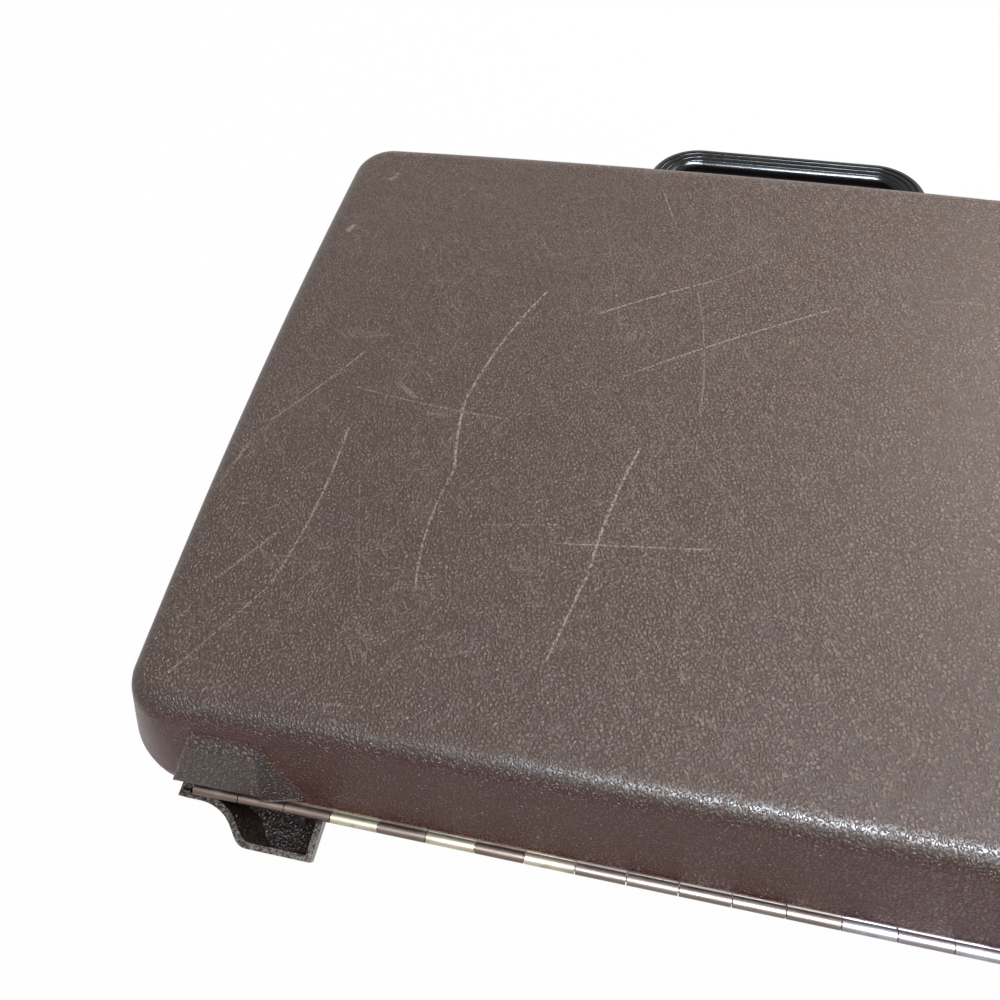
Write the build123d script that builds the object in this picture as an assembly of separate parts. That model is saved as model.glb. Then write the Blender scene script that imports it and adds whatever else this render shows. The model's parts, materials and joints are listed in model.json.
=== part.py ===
from build123d import *
import math
import os

# Briefcase lying on its base with the lid shut: X runs along the hinge, +Y points to the
# handle, Z = 0 is the underside, and X = Y = 0 is the middle of the shells. Millimetres.

# Moulded shells
case_width = 439.0        # along X at the seam
case_depth = 326.0        # along Y at the seam
base_height = 60.0        # underside to seam
lid_height = 40.0         # seam to the top of the crowned lid
corner_radius = 34.0      # of the outline at the seam
side_bow = 3.2            # how far three of the sides bulge outward
shell_wall = 3.0
shell_edge = 1.0          # from the seam to the edge of each shell's wall
edge_radius = 10.0        # where the walls turn into the lid top and the underside
lid_draft = 1 / 3         # how far the lid's walls lean in, for each millimetre of height
base_draft = 14 / 60
corner_taper = 0.2        # how much the lid's corners tighten, for each millimetre of height
crown_radius = 9500.0     # of the lid's gently domed top

# Metal rims that close the shells' edges
rim_height = 3.0          # of the band inside the shell's wall
rim_inset = 1.0           # from the outline at the seam
rim_width = 6.6
skirt_height = 7.0        # the part of a rim that reaches inside the shell
skirt_wall = 1.5
skirt_bite = 0.3          # how far the band reaches into the skirt's wall
seam_gap = 0.15           # from each rim to the seam plane
tongue_width = 1.2
tongue_height = 1.8
tongue_inset = 5.0
groove_gap = 0.4
fit_gap = 0.1
past = 1.0                # how far a cutter runs past the face it cuts

# Piano hinge
knuckle_count = 21
hinge_margin = 37.5       # from the sides at the seam to the hinge's ends
knuckle_gap = 0.4
barrel_radius = 2.0
hinge_pin_radius = 0.9
running_gap = 0.05        # between a pin and its bore
barrel_offset = 2.0       # from the shells' outline to the pin
leaf_thickness = 0.8
leaf_width = 9.5          # from the pin to the leaf's edge
rivet_radius = 1.2
rivet_inset = 5.6         # from the outline at the seam
rivet_count = 11

# Bosses on the lid, at the hinge side. Places along X are from the nearer side at the seam.
boss_bottom = 4.0         # above the seam
boss_top = 22.5           # of its slanted front
boss_crest = 27.5         # where its top edge runs out on the wall
boss_proud = 1.3          # past the hinge pin
boss_lift = 2.6           # out of the wall, at the top of its front
boss_side_inner = 64.0    # the end nearest the middle of the case
boss_side_outer = 30.0
boss_top_inner = 65.5
boss_top_outer = 37.5
gusset_side = 81.5        # where the boss's slanted side meets the wall
boss_edge = 2.2
boss_skin = 0.2           # how far its back edges stand off the wall

# Hollow feet on the base, under the bosses
foot_side_inner = 86.0
foot_side_outer = 62.5    # where the flat of the foot ends
foot_proud = 15.9         # past the hinge pin
foot_wall = 2.2
foot_top = 3.2            # below the seam
foot_length = 26.0
foot_slant = 8.0          # how much shorter the foot is at its outer face
foot_draft = 0.25         # how far its outer face leans in, for each millimetre of depth
foot_side_draft = 0.24
foot_flare = ((-6.8, 4.0), (-12.2, 9.6), (-19.5, 12.7), (-31.5, 13.3))    # from the flat's end
foot_post_wall = 1.2      # round the hole for its screw

# Linings and lid organiser
lining_inset = 5.0        # from the outline at the seam
lining_wall = 1.2
pocket_side = 34.5        # from the case's side at the seam to the file pocket
pocket_bottom = 24.0      # from the hinge side at the seam
pocket_length = 178.0
pocket_drop = 12.0        # from the top of the lid's lining to the pocket's face
pocket_wall = 1.6
gusset_wall = 1.4
card_pocket_width = 96.0
card_pocket_height = 62.0
card_pocket_drop = 5.0
card_pocket_side = 109.5  # from the right side at the seam to the pocket's middle
organiser_front = 76.0    # from the handle side to the middle of the card pocket and loops
pen_loop_count = 3
pen_loop_pitch = 22.0
pen_loop_side = 149.5     # from the left side at the seam to the first loop
pen_loop_length = 26.0
pen_loop_radius = 7.5
pen_loop_wall = 1.2

# Locks, one each side of the handle
lock_shift = 1.5          # towards the handle, from midway between its pad and the case's corner
pad_face = 1.0            # how far the flat pads stand outside the shells
pad_edge = 3.0
lock_pad_half = 42.0
lock_pad_bottom = 32.0    # below the seam
lock_pad_back = 17.5      # thickness of the pad
pocket_depth = 13.0
pocket_top = 5.0          # below the seam
plate_top = 3.2
plate_thickness = 1.6
plate_half = 41.0
plate_bottom = 30.0
plate_corner = 4.0
plate_chamfer = 0.4
dial_radius = 7.5
dial_width = 5.6
dial_pitch = 7.0
dial_first_x = -16.0
dial_count = 3
dial_sink = 4.5           # axle behind the pad's face
dial_drop = 14.5          # axle below the seam
dial_axle_radius = 1.5
dial_notches = 10
dial_notch_radius = 0.7
dial_chamfer = 0.4
dial_gap = 0.3            # each side of a dial in its slot
cheek_thickness = 1.0
screw_radius = 1.1
screw_head_radius = 2.2
screw_head_height = 0.7
screw_length = 5.0
screw_x = 38.0
screw_drops = (7.0, 26.5)

# Hasps, which hang from the lid
hasp_half = 9.0
hasp_corner = 1.5
hasp_tip = 22.0           # below the seam
hasp_thickness = 2.0
hasp_gap = 0.6            # in front of the lock plate
hasp_axis_height = 9.0
hasp_axis_out = 4.0       # in front of the pad's face
hasp_barrel_radius = 2.2
hasp_barrel_half = 5.0
hasp_shoulder = 3.5       # below the pin, where the hasp reaches its full width
hasp_lip_radius = 1.3
hasp_pin_radius = 1.0
hasp_pin_proud = 0.3
ear_gap = 0.4
ear_thickness = 2.6
hasp_plate_half = 13.0
hasp_plate_top = 15.5
hasp_plate_corner = 2.0
hasp_screw_inset = 3.0
hasp_screw_drop = 2.4     # below the plate's top
staple_half = 4.0
staple_depth = 6.0        # behind the pad's face
staple_top = 7.0
staple_bottom = 14.0
staple_gap = 1.0
bolt_radius = 1.4
bolt_gap = 0.3
bolt_start = 2.0          # from the staple to the end of the withdrawn bolt
bolt_sink = 3.2
bolt_drop = 10.5
slide_travel = 8.0
slide_half = 6.0
slide_x = 24.0
slide_top = 5.0
slide_bottom = 16.0
slide_height = 2.8
slide_corner = 1.5
slide_rounding = 0.8
slide_groove_radius = 0.6
slide_gap = 0.2
slide_back_half = 4.0     # the wider part behind the plate that keeps the slide in
slide_groove_pitch = 2.6
stem_half = 2.0

# Handle
handle_pivot_x = 64.0
handle_drop = 14.0        # pivot below the seam
handle_pivot_out = 9.0    # pivot in front of the shells
handle_reach = 51.7       # middle of the grip in front of the shells
handle_bend = 20.0
grip_width = 14.0
grip_height = 19.0
grip_corner = 5.0
grip_start = 8.0          # from the pivot to where the moulded grip begins
groove_radius = 0.8
groove_pitch = 3.0
groove_count = 4
core_width = 6.0
core_height = 5.0
eye_radius = 3.8
eye_half = 5.0
handle_pin_radius = 1.8
handle_pin_proud = 0.4
bracket_half = 10.5
bracket_corner = 3.0
bracket_rivet_inset = 2.6
bracket_ear = 2.2
bracket_ear_radius = 4.0
bracket_rivet_radius = 1.4
bracket_rivet_head = 2.2

seam_z = base_height
hinge_y = -(case_depth / 2 + barrel_offset)
hinge_length = case_width - 2 * hinge_margin
knuckle_pitch = hinge_length / knuckle_count
pad_y = case_depth / 2 + pad_face
plate_y = pad_y + plate_thickness
handle_pad_half = bracket_half + pad_edge
lock_x = (handle_pivot_x + handle_pad_half + case_width / 2 - corner_radius) / 2 - lock_shift
card_pocket_x = case_width / 2 - card_pocket_side
pen_loop_x = pen_loop_side - case_width / 2
organiser_y = case_depth / 2 - organiser_front


def block(x, y, z):
    """A box between the two values of each of x, y and z."""
    middle = [(ends[0] + ends[1]) / 2 for ends in (x, y, z)]
    return Pos(*middle) * Box(*[abs(ends[1] - ends[0]) for ends in (x, y, z)])


def rod_x(radius, x, y, z):
    """A round bar along X, between the two values of x."""
    return Pos((x[0] + x[1]) / 2, y, z) * Rot(0, 90, 0) * Cylinder(radius, abs(x[1] - x[0]))


def rod_y(radius, x, y, z):
    """A round bar along Y, between the two values of y."""
    return Pos(x, (y[0] + y[1]) / 2, z) * Rot(90, 0, 0) * Cylinder(radius, abs(y[1] - y[0]))


def below(drop):
    """Height of what lies this far below the seam."""
    return seam_z - drop


def above(rise):
    """Height of what lies this far above the seam."""
    return seam_z + rise


def mirrored(part):
    return mirror(part, about=Plane.YZ)


def outline(inset, tightened=0.0):
    """The case's outline, moved inward, with tighter corners: straight at the hinge, else bowed."""
    half_x = case_width / 2 - inset
    half_y = case_depth / 2 - inset
    side_x = half_x - side_bow
    front_y = half_y - side_bow
    sides = [
        Line((-side_x, -half_y), (side_x, -half_y)),
        ThreePointArc((side_x, -half_y), (half_x, -side_bow / 2), (side_x, front_y)),
        ThreePointArc((side_x, front_y), (0, half_y), (-side_x, front_y)),
        ThreePointArc((-side_x, front_y), (-half_x, -side_bow / 2), (-side_x, -half_y)),
    ]
    face = make_face(sides)
    return fillet(face.vertices(), corner_radius - inset - tightened)


def drafted(inset, height, draft, taper):
    """The outline drawn up into a solid whose walls lean in. Its open side is on Z = 0."""
    end = Pos(0, 0, height) * outline(inset + draft * height, taper * height)
    return loft([outline(inset), end], ruled=True)


def lid_form(inset, roof):
    """The lid as a solid, its walls and its domed top moved inward."""
    height = lid_height - roof
    dome = Pos(0, 0, height - crown_radius) * Rot(90, 0, 0) * Sphere(crown_radius)
    body = drafted(inset, height, lid_draft, corner_taper) & dome
    return fillet(body.faces().sort_by(Axis.Z)[-1].edges(), edge_radius - min(roof, shell_wall))


def base_form(inset, floor):
    """The base as a solid, its walls and its flat underside moved inward."""
    body = drafted(inset, base_height - floor, base_draft, 0)
    return fillet(body.faces().sort_by(Axis.Z)[-1].edges(), edge_radius - min(floor, shell_wall))


def to_lid(body):
    return Pos(0, 0, seam_z) * body


def to_base(body):
    return Pos(0, 0, seam_z) * mirror(body, about=Plane.XY)


def beyond(body, low):
    """What lies further from the seam than this."""
    return body & block((-case_width, case_width), (-case_width, case_width), (low, 2 * base_height))


def flat_pad(x, half, low, high):
    """A flat pad on the handle side, between two distances from the seam."""
    pad = block((x - half, x + half), (pad_y - lock_pad_back, pad_y), (low, high))
    return fillet(pad.faces().sort_by(Axis.Y)[-1].edges(), pad_face)


def at_lock(part, x_sign):
    """Moves a lock's piece to its side of the handle, with the dials nearest the handle."""
    part = Pos(lock_x, 0, 0) * part
    return part if x_sign > 0 else mirrored(part)


def boss_section(rise, front, inner, outer, slope_end):
    """A level section of the left boss: its front, and its slanted side from front to wall."""
    wall = lid_draft * rise - case_depth / 2
    points = [(-outer, front), (-inner, front), (-slope_end, wall - boss_skin / 2),
              (-slope_end, wall + shell_wall), (-outer, wall + shell_wall)]
    return Pos(0, 0, rise) * make_face(Polyline(*points, close=True))


def boss():
    """The wedge on the lid's hinge wall at the left, with its slanted inner side."""
    half = case_width / 2
    inner = half - boss_top_inner
    outer = half - boss_top_outer
    lifted = lid_draft * boss_top - case_depth / 2 - boss_lift
    skin = lid_draft * boss_crest - case_depth / 2 - boss_skin
    low = boss_section(boss_bottom, hinge_y - boss_proud, half - boss_side_inner,
                       half - boss_side_outer, half - gusset_side)
    middle = boss_section(boss_top, lifted, inner, outer, inner - boss_lift)
    high = boss_section(boss_crest, skin, inner, outer - boss_lift, inner - boss_lift / 2)
    wedge = loft([low, middle, high], ruled=True)
    return fillet(wedge.faces().sort_by(Axis.Y)[0].edges(), boss_edge)


def hasp_screw_places():
    x = hasp_plate_half - hasp_screw_inset
    return [(side * x, above(hasp_plate_top - hasp_screw_drop)) for side in (-1, 1)]


def lid_shell():
    outer = lid_form(0, 0)
    outer += boss()
    outer += mirrored(boss())
    for x in (-lock_x, lock_x):
        outer += flat_pad(x, hasp_plate_half + pad_edge, shell_edge, hasp_plate_top + pad_edge)
    shell = to_lid(beyond(outer - lid_form(shell_wall, shell_wall), shell_edge))
    for x_sign in (-1, 1):
        for x, z in hasp_screw_places():
            shell -= at_lock(rod_y(screw_radius, x, (pad_y - screw_length, pad_y), z), x_sign)
    return shell


def lock_screw_places():
    return [(side * screw_x, below(drop)) for side in (-1, 1) for drop in screw_drops]


def lock_pocket():
    """The recess behind a lock plate, open at the top where the hasp's staple drops in."""
    dials_end = dial_first_x - dial_pitch * (dial_count - 1) - dial_width / 2
    x = (dials_end - dial_gap - 2 * cheek_thickness - fit_gap, slide_x + slide_back_half + dial_gap)
    z = (below(dial_drop + dial_radius + past), below(pocket_top))
    room = block(x, (pad_y - pocket_depth, pad_y), z)
    half = staple_half + staple_gap
    y = (pad_y - staple_depth - staple_gap, pad_y)
    return room + block((-half, half), y, (below(pocket_top + past), seam_z))


def bracket_rivet_places():
    spread = bracket_half - bracket_rivet_inset
    drop = below(handle_drop)
    return [(handle_pivot_x + dx, drop + dz) for dx in (-spread, spread) for dz in (-spread, spread)]


def foot_screw():
    """A screw from inside the base into the left foot: its shank and its head."""
    x = (foot_side_inner + foot_side_outer) / 2 - case_width / 2
    z = below(foot_top + foot_length / 2)
    inside = base_draft * (seam_z - z) - case_depth / 2 + shell_wall
    shank = rod_y(screw_radius, x, (inside - shell_wall - screw_length, inside), z)
    return shank, rod_y(screw_head_radius, x, (inside, inside + screw_head_height), z)


def base_shell():
    outer = base_form(0, 0)
    bracket_low = handle_drop + handle_pad_half
    for x in (-handle_pivot_x, handle_pivot_x):
        outer += flat_pad(x, handle_pad_half, shell_edge, bracket_low)
    shell = outer - base_form(shell_wall, shell_wall)
    for x in (-lock_x, lock_x):
        pad = flat_pad(x, lock_pad_half, shell_edge, lock_pad_bottom)
        inside = (pad_y - lock_pad_back, case_depth / 2 - shell_wall)
        shell += pad - block((x - lock_pad_half, x + lock_pad_half), inside, (0, rim_height))
    shell = to_base(beyond(shell, shell_edge))
    shank, head = foot_screw()
    for x_sign in (-1, 1):
        shell -= at_lock(lock_pocket(), x_sign)
        for x, z in lock_screw_places():
            shell -= at_lock(rod_y(screw_radius, x, (pad_y - screw_length, pad_y), z), x_sign)
        for x, z in bracket_rivet_places():
            rivet = rod_y(bracket_rivet_radius, x, (pad_y - screw_length, pad_y), z)
            shell -= rivet if x_sign > 0 else mirrored(rivet)
        screw = shank + head
        shell -= screw if x_sign < 0 else mirrored(screw)
    return shell


def rivet_places():
    step = hinge_length / rivet_count
    return [step * (i + 0.5) - hinge_length / 2 for i in range(rivet_count)]


def hinge_rivets():
    """The rivets of one leaf, in the frame of the lid."""
    height = rim_height - seam_gap
    place = Pos(0, rivet_inset - case_depth / 2, seam_gap + height / 2)
    return [place * Pos(x, 0, 0) * Cylinder(rivet_radius, height) for x in rivet_places()]


def rim(draft, taper):
    """A rim in the lid's frame: a flange under the shell's wall, a band inside it and a skirt."""
    inner = rim_inset + rim_width
    inset = shell_wall + fit_gap
    height = rim_height + skirt_height
    flange = extrude(outline(rim_inset) - outline(inner), shell_edge)
    band = extrude(outline(inset + skirt_wall - skirt_bite) - outline(inner), rim_height)
    skirt = drafted(inset, height, draft, taper) - drafted(inset + skirt_wall, height, draft, taper)
    whole = beyond(skirt + band + flange, seam_gap)
    half = hinge_length / 2 + past
    side = hinge_y - leaf_width
    whole -= block((-half, half), (side, hinge_y + leaf_width + fit_gap),
                   (0, seam_gap + leaf_thickness))
    whole -= block((-half, half), (side, shell_wall + skirt_wall / 2 - case_depth / 2), (0, shell_edge))
    for rivet in hinge_rivets():
        whole -= rivet
    return whole


def tongue_ring(inset, width, height):
    """A ring along the seam that leaves the hinge side free."""
    ring = extrude(outline(inset) - outline(inset + width), height)
    side = (hinge_y - leaf_width, hinge_y + 4 * leaf_width)
    return ring - block((-case_width, case_width), side, (-past, height + past))


def lid_rim():
    groove = tongue_ring(tongue_inset - groove_gap, tongue_width + 2 * groove_gap,
                         tongue_height + groove_gap)
    return to_lid(rim(lid_draft, corner_taper) - groove)


def base_rim():
    whole = to_base(rim(base_draft, 0))
    whole += Pos(0, 0, below(2 * seam_gap)) * tongue_ring(tongue_inset, tongue_width,
                                                          tongue_height + 2 * seam_gap)
    pad_half = lock_pad_half + fit_gap
    mouth_half = staple_half + staple_gap
    for x in (-lock_x, lock_x):
        whole -= block((x - pad_half, x + pad_half), (pad_y - lock_pad_back - fit_gap, pad_y),
                       (below(lock_pad_bottom), below(rim_height)))
        whole -= block((x - mouth_half, x + mouth_half), (pad_y - staple_depth - staple_gap, pad_y),
                       (below(2 * rim_height), above(2 * tongue_height)))
    return whole


def hinge_leaf(first):
    """A leaf in the lid's frame, with every second knuckle from the first one given."""
    bore = hinge_pin_radius + running_gap
    thick = (seam_gap, seam_gap + leaf_thickness)
    leaf = block((-hinge_length / 2, hinge_length / 2),
                 (hinge_y + barrel_radius + knuckle_gap, hinge_y + leaf_width), thick)
    for i in range(first, knuckle_count, 2):
        left = i * knuckle_pitch - hinge_length / 2
        x = (left + knuckle_gap / 2, left + knuckle_pitch - knuckle_gap / 2)
        leaf += block(x, (hinge_y, hinge_y + leaf_width), thick)
        leaf += rod_x(barrel_radius, x, hinge_y, 0)
        leaf -= rod_x(bore, (x[0] - past, x[1] + past), hinge_y, 0)
    for rivet in hinge_rivets():
        leaf -= rivet
    return leaf


def foot_plan(wall, depth):
    """The left foot's outline at a depth below its rim, with its walls moved inward."""
    half = case_width / 2
    out = hinge_y - foot_proud + wall + foot_draft * depth
    inner = foot_side_inner - half - wall - foot_side_draft * depth
    flat_end = foot_side_outer - half + wall / 2 + foot_side_draft * depth
    back = hinge_y + 2 * foot_proud
    flare = [(flat_end, out)] + [(flat_end + dx, out + dy) for dx, dy in foot_flare]
    edges = [
        Line((inner, back), (inner, out)),
        Line((inner, out), (flat_end, out)),
        Spline(*flare, tangents=[(-1, 0), (-1, 0.1)]),
        Line(flare[-1], (flare[-1][0], back)),
        Line((flare[-1][0], back), (inner, back)),
    ]
    return make_face(edges)


def foot_form(wall, length):
    """The left foot as a solid with a slanted lower end, its walls moved inward."""
    depths = (length, -wall)
    sections = [Pos(0, 0, below(foot_top + depth)) * foot_plan(wall, depth) for depth in depths]
    bottom = below(foot_top + length)
    outer_y = hinge_y - foot_proud - past
    slant = Polyline((outer_y, bottom - past), (outer_y, bottom + foot_slant),
                     (hinge_y + 2 * foot_proud, bottom - past), close=True)
    return loft(sections, ruled=True) - extrude(Plane.YZ * make_face(slant), case_width, both=True)


def hinge_foot():
    """The left foot: a hollow bracket, open towards the lid, on the base's leaning wall."""
    shank, _ = foot_screw()
    ends = shank.bounding_box()
    post = rod_y(screw_radius + foot_post_wall, ends.center().X, (ends.min.Y - past, ends.max.Y),
                 ends.center().Z)
    base = to_base(base_form(0, 0))
    room = foot_form(foot_wall, foot_length - foot_wall) - Pos(0, -foot_wall, 0) * base - post
    return foot_form(0, foot_length) - room - base - shank


def lid_lining():
    outer = lid_form(lining_inset, shell_wall + fit_gap)
    return to_lid(beyond(outer - lining_room(), rim_height))


def lining_room():
    """The space inside the lid's lining."""
    return lid_form(lining_inset + lining_wall, shell_wall + fit_gap + lining_wall)


def base_lining():
    outer = base_form(lining_inset, shell_wall)
    room = base_form(lining_inset + lining_wall, shell_wall + lining_wall)
    lining = to_base(beyond(outer - room, rim_height))
    half = lock_pad_half + fit_gap
    for x in (-lock_x, lock_x):
        lining -= block((x - half, x + half), (pad_y - lock_pad_back - fit_gap, pad_y),
                        (below(lock_pad_bottom + fit_gap), seam_z))
    return lining


def pocket_panel(x, y, drop, wall):
    """The flat face of a pocket under the lid's lining."""
    low = lid_height - shell_wall - fit_gap - lining_wall - drop
    return to_lid(block(x, y, (low, low + wall)))


def pocket_gusset(x, y, panel, wall):
    """The walls between a pocket's face and the lining, open on the side nearest the handle."""
    z = (panel.bounding_box().max.Z, seam_z + lid_height)
    room = block((x[0] + wall, x[1] - wall), (y[0] + wall, y[1] + past), z)
    return (block(x, y, z) - room) & to_lid(lining_room())


def file_pocket():
    """The file pocket's face and its gusset."""
    half = case_width / 2 - pocket_side
    low = pocket_bottom - case_depth / 2
    y = (low, low + pocket_length)
    panel = pocket_panel((-half, half), y, pocket_drop, pocket_wall)
    return panel, pocket_gusset((-half, half), y, panel, gusset_wall)


def card_pocket():
    x = (card_pocket_x - card_pocket_width / 2, card_pocket_x + card_pocket_width / 2)
    y = (organiser_y - card_pocket_height / 2, organiser_y + card_pocket_height / 2)
    panel = pocket_panel(x, y, card_pocket_drop, lining_wall)
    return panel + pocket_gusset(x, y, panel, lining_wall)


def pen_loops():
    """Half-round loops that stand on the lid's lining."""
    loops = []
    z = lid_height - shell_wall - lining_wall - pen_loop_radius / 2
    y = (organiser_y - pen_loop_length / 2, organiser_y + pen_loop_length / 2)
    for i in range(pen_loop_count):
        x = pen_loop_x + i * pen_loop_pitch
        ring = rod_y(pen_loop_radius, x, y, z) - rod_y(pen_loop_radius - pen_loop_wall, x, y, z)
        loops.append(to_lid(ring & lining_room()))
    return Compound(children=loops)


def slot_y(x, z, radius):
    """A cutter through a lock plate, between two values of x and z, with rounded corners."""
    cut = block(x, (pad_y - past, plate_y + past), z)
    return fillet(cut.edges().filter_by(Axis.Y), radius)


def lock_plate():
    """A lock's cover plate, with the cheeks that carry the dials' axle behind it."""
    z = (below(plate_bottom), below(plate_top))
    plate = block((-plate_half, plate_half), (pad_y, plate_y), z)
    plate = fillet(plate.edges().filter_by(Axis.Y), plate_corner)
    plate = chamfer(plate.faces().sort_by(Axis.Y)[-1].edges(), plate_chamfer)
    half = staple_half + staple_gap
    reach = math.hypot(staple_depth + hasp_axis_out, hasp_axis_height + staple_bottom)
    mouth_drop = reach - hasp_axis_height + staple_gap
    plate -= block((-half, half), (pad_y - past, plate_y + past), (below(mouth_drop), seam_z))
    stem = stem_half + bolt_gap
    plate -= slot_y((slide_x - slide_travel - stem, slide_x + stem),
                    (below(bolt_drop + stem_half), below(bolt_drop - stem_half)), stem_half / 2)
    dial_half = dial_width / 2 + dial_gap
    slot_half = math.sqrt(dial_radius ** 2 - dial_sink ** 2) + 2 * dial_gap
    for i in range(dial_count):
        x = dial_first_x - i * dial_pitch
        plate -= slot_y((x - dial_half, x + dial_half),
                        (below(dial_drop + slot_half), below(dial_drop - slot_half)), dial_gap)
    cheek_z = (below(dial_drop + 2 * dial_axle_radius), below(dial_drop - 2 * dial_axle_radius))
    for x in cheek_places():
        cheek = block(x, (pad_y - dial_sink - 2 * dial_axle_radius, pad_y), cheek_z)
        plate += cheek
    plate -= dial_axle()
    for x, z in lock_screw_places():
        plate -= rod_y(screw_radius, x, (pad_y - past, plate_y + past), z)
    return plate


def cheek_places():
    inner = dial_first_x + dial_width / 2 + dial_gap
    outer = dial_first_x - dial_pitch * (dial_count - 1) - dial_width / 2 - dial_gap
    return (outer - cheek_thickness, outer), (inner, inner + cheek_thickness)


def dial_axle():
    outer, inner = cheek_places()
    return rod_x(dial_axle_radius, (outer[0], inner[1]), pad_y - dial_sink, below(dial_drop))


def dial(index):
    """A number wheel with a small finger notch between each two numbers."""
    x = dial_first_x - index * dial_pitch
    y = pad_y - dial_sink
    z = below(dial_drop)
    ends = (x - dial_width / 2, x + dial_width / 2)
    wheel = rod_x(dial_radius, ends, y, z)
    wheel = chamfer(wheel.edges().filter_by(GeomType.CIRCLE), dial_chamfer)
    wheel -= rod_x(dial_axle_radius + running_gap, ends, y, z)
    for i in range(dial_notches):
        angle = 2 * math.pi * (i + 0.5) / dial_notches
        notch_y = y + dial_radius * math.cos(angle)
        notch_z = z + dial_radius * math.sin(angle)
        wheel -= rod_x(dial_notch_radius, ends, notch_y, notch_z)
    return wheel


def thumb_slide():
    """The ridged thumb piece with its stem, the part that keeps it in, and the bolt."""
    z = (below(slide_bottom), below(slide_top))
    front = plate_y + slide_gap + slide_height
    button = block((slide_x - slide_half, slide_x + slide_half), (plate_y + slide_gap, front), z)
    button = fillet(button.edges().filter_by(Axis.Y), slide_corner)
    button = fillet(button.faces().sort_by(Axis.Y)[-1].edges(), slide_rounding)
    groove = Pos(slide_x, front, seam_z) * Cylinder(slide_groove_radius, 4 * slide_bottom)
    for i in (-1, 0, 1):
        button -= Pos(i * slide_groove_pitch, 0, 0) * groove
    stem_z = (below(bolt_drop + stem_half - bolt_gap), below(bolt_drop - stem_half + bolt_gap))
    stem_y = (pad_y - bolt_sink - bolt_radius, plate_y + slide_height / 2)
    stem = block((slide_x - stem_half, slide_x + stem_half), stem_y, stem_z)
    back_z = (below(bolt_drop + slide_back_half), below(bolt_drop - slide_back_half))
    back = block((slide_x - slide_back_half, slide_x + slide_back_half),
                 (pad_y - bolt_sink, pad_y - slide_gap), back_z)
    bolt = rod_x(bolt_radius, (staple_half + bolt_start, slide_x), pad_y - bolt_sink,
                 below(bolt_drop))
    return button + stem + back + bolt


def lock_screws():
    screws = []
    for x, z in lock_screw_places():
        shank = rod_y(screw_radius, x, (pad_y - screw_length, plate_y), z)
        head = rod_y(screw_head_radius, x, (plate_y, plate_y + screw_head_height), z)
        head = fillet(head.faces().sort_by(Axis.Y)[-1].edges(), screw_head_height / 2)
        screws.append(shank + head)
    return screws


def hasp_plate():
    """The plate on the lid that a hasp swings from, with an ear each side of its barrel."""
    z = (above(rim_height + fit_gap), above(hasp_plate_top))
    plate = block((-hasp_plate_half, hasp_plate_half), (pad_y, plate_y), z)
    plate = fillet(plate.edges().filter_by(Axis.Y), hasp_plate_corner)
    axis = (pad_y + hasp_axis_out, above(hasp_axis_height))
    ear_z = (axis[1] - hasp_barrel_radius, axis[1] + hasp_barrel_radius)
    for side in (-1, 1):
        near = side * (hasp_barrel_half + ear_gap)
        x = (near, near + side * ear_thickness)
        plate += block(x, (pad_y + pad_face, axis[0]), ear_z)
        plate += rod_x(hasp_barrel_radius, x, *axis)
    plate -= hasp_pin()
    for x, z in hasp_screw_places():
        plate -= rod_y(screw_radius, x, (pad_y - past, plate_y + past), z)
    return plate


def hasp_pin():
    half = hasp_barrel_half + ear_gap + ear_thickness + hasp_pin_proud
    return rod_x(hasp_pin_radius, (-half, half), pad_y + hasp_axis_out, above(hasp_axis_height))


def hasp_screws():
    screws = []
    for x, z in hasp_screw_places():
        shank = rod_y(screw_radius, x, (pad_y - screw_length, plate_y), z)
        screws.append(shank + rod_y(screw_head_radius, x, (plate_y, plate_y + screw_head_height), z))
    return screws


def hasp():
    """The hasp: barrel, plate over the seam, lip for the finger, staple with the bolt's hole."""
    axis = (pad_y + hasp_axis_out, above(hasp_axis_height))
    y = (plate_y + hasp_gap, plate_y + hasp_gap + hasp_thickness)
    half = hasp_barrel_half
    plate = block((-hasp_half, hasp_half), y, (below(hasp_tip), axis[1] - hasp_shoulder))
    plate = fillet(plate.edges().filter_by(Axis.Y), hasp_corner)
    plate += block((-half, half), y, (seam_z, axis[1]))
    plate += rod_x(hasp_barrel_radius, (-half, half), *axis)
    lip = hasp_half - hasp_corner
    plate += rod_x(hasp_lip_radius, (-lip, lip), y[1], below(hasp_tip - hasp_lip_radius))
    plate -= rod_x(hasp_pin_radius + running_gap, (-2 * half, 2 * half), *axis)
    staple = block((-staple_half, staple_half), (pad_y - staple_depth, y[1]),
                   (below(staple_bottom), below(staple_top)))
    hole = rod_x(bolt_radius + bolt_gap, (-hasp_half, hasp_half), pad_y - bolt_sink, below(bolt_drop))
    return plate + staple - hole


def handle_path(start):
    """The handle's middle line, from one leg to the other, starting this far from the pivots."""
    y = case_depth / 2 + handle_pivot_out + start
    grip_y = case_depth / 2 + handle_reach
    x = handle_pivot_x
    points = [(-x, y), (-x, grip_y), (x, grip_y), (x, y)]
    path = FilletPolyline(*points, radius=handle_bend)
    return Pos(0, 0, below(handle_drop)) * path


def swept(section, start):
    path = handle_path(start)
    plane = Plane(origin=path @ 0, x_dir=(1, 0, 0), z_dir=path % 0)
    return sweep(plane * section, path=path)


def handle_core():
    """The metal bar inside the handle, with an eye at each end for its pin."""
    core = swept(Rectangle(core_width, core_height), 0)
    axis = (case_depth / 2 + handle_pivot_out, below(handle_drop))
    for x in (-handle_pivot_x, handle_pivot_x):
        core += rod_x(eye_radius, (x - eye_half, x + eye_half), *axis)
        core -= rod_x(handle_pin_radius + running_gap, (x - 2 * eye_half, x + 2 * eye_half), *axis)
    return core


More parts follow.
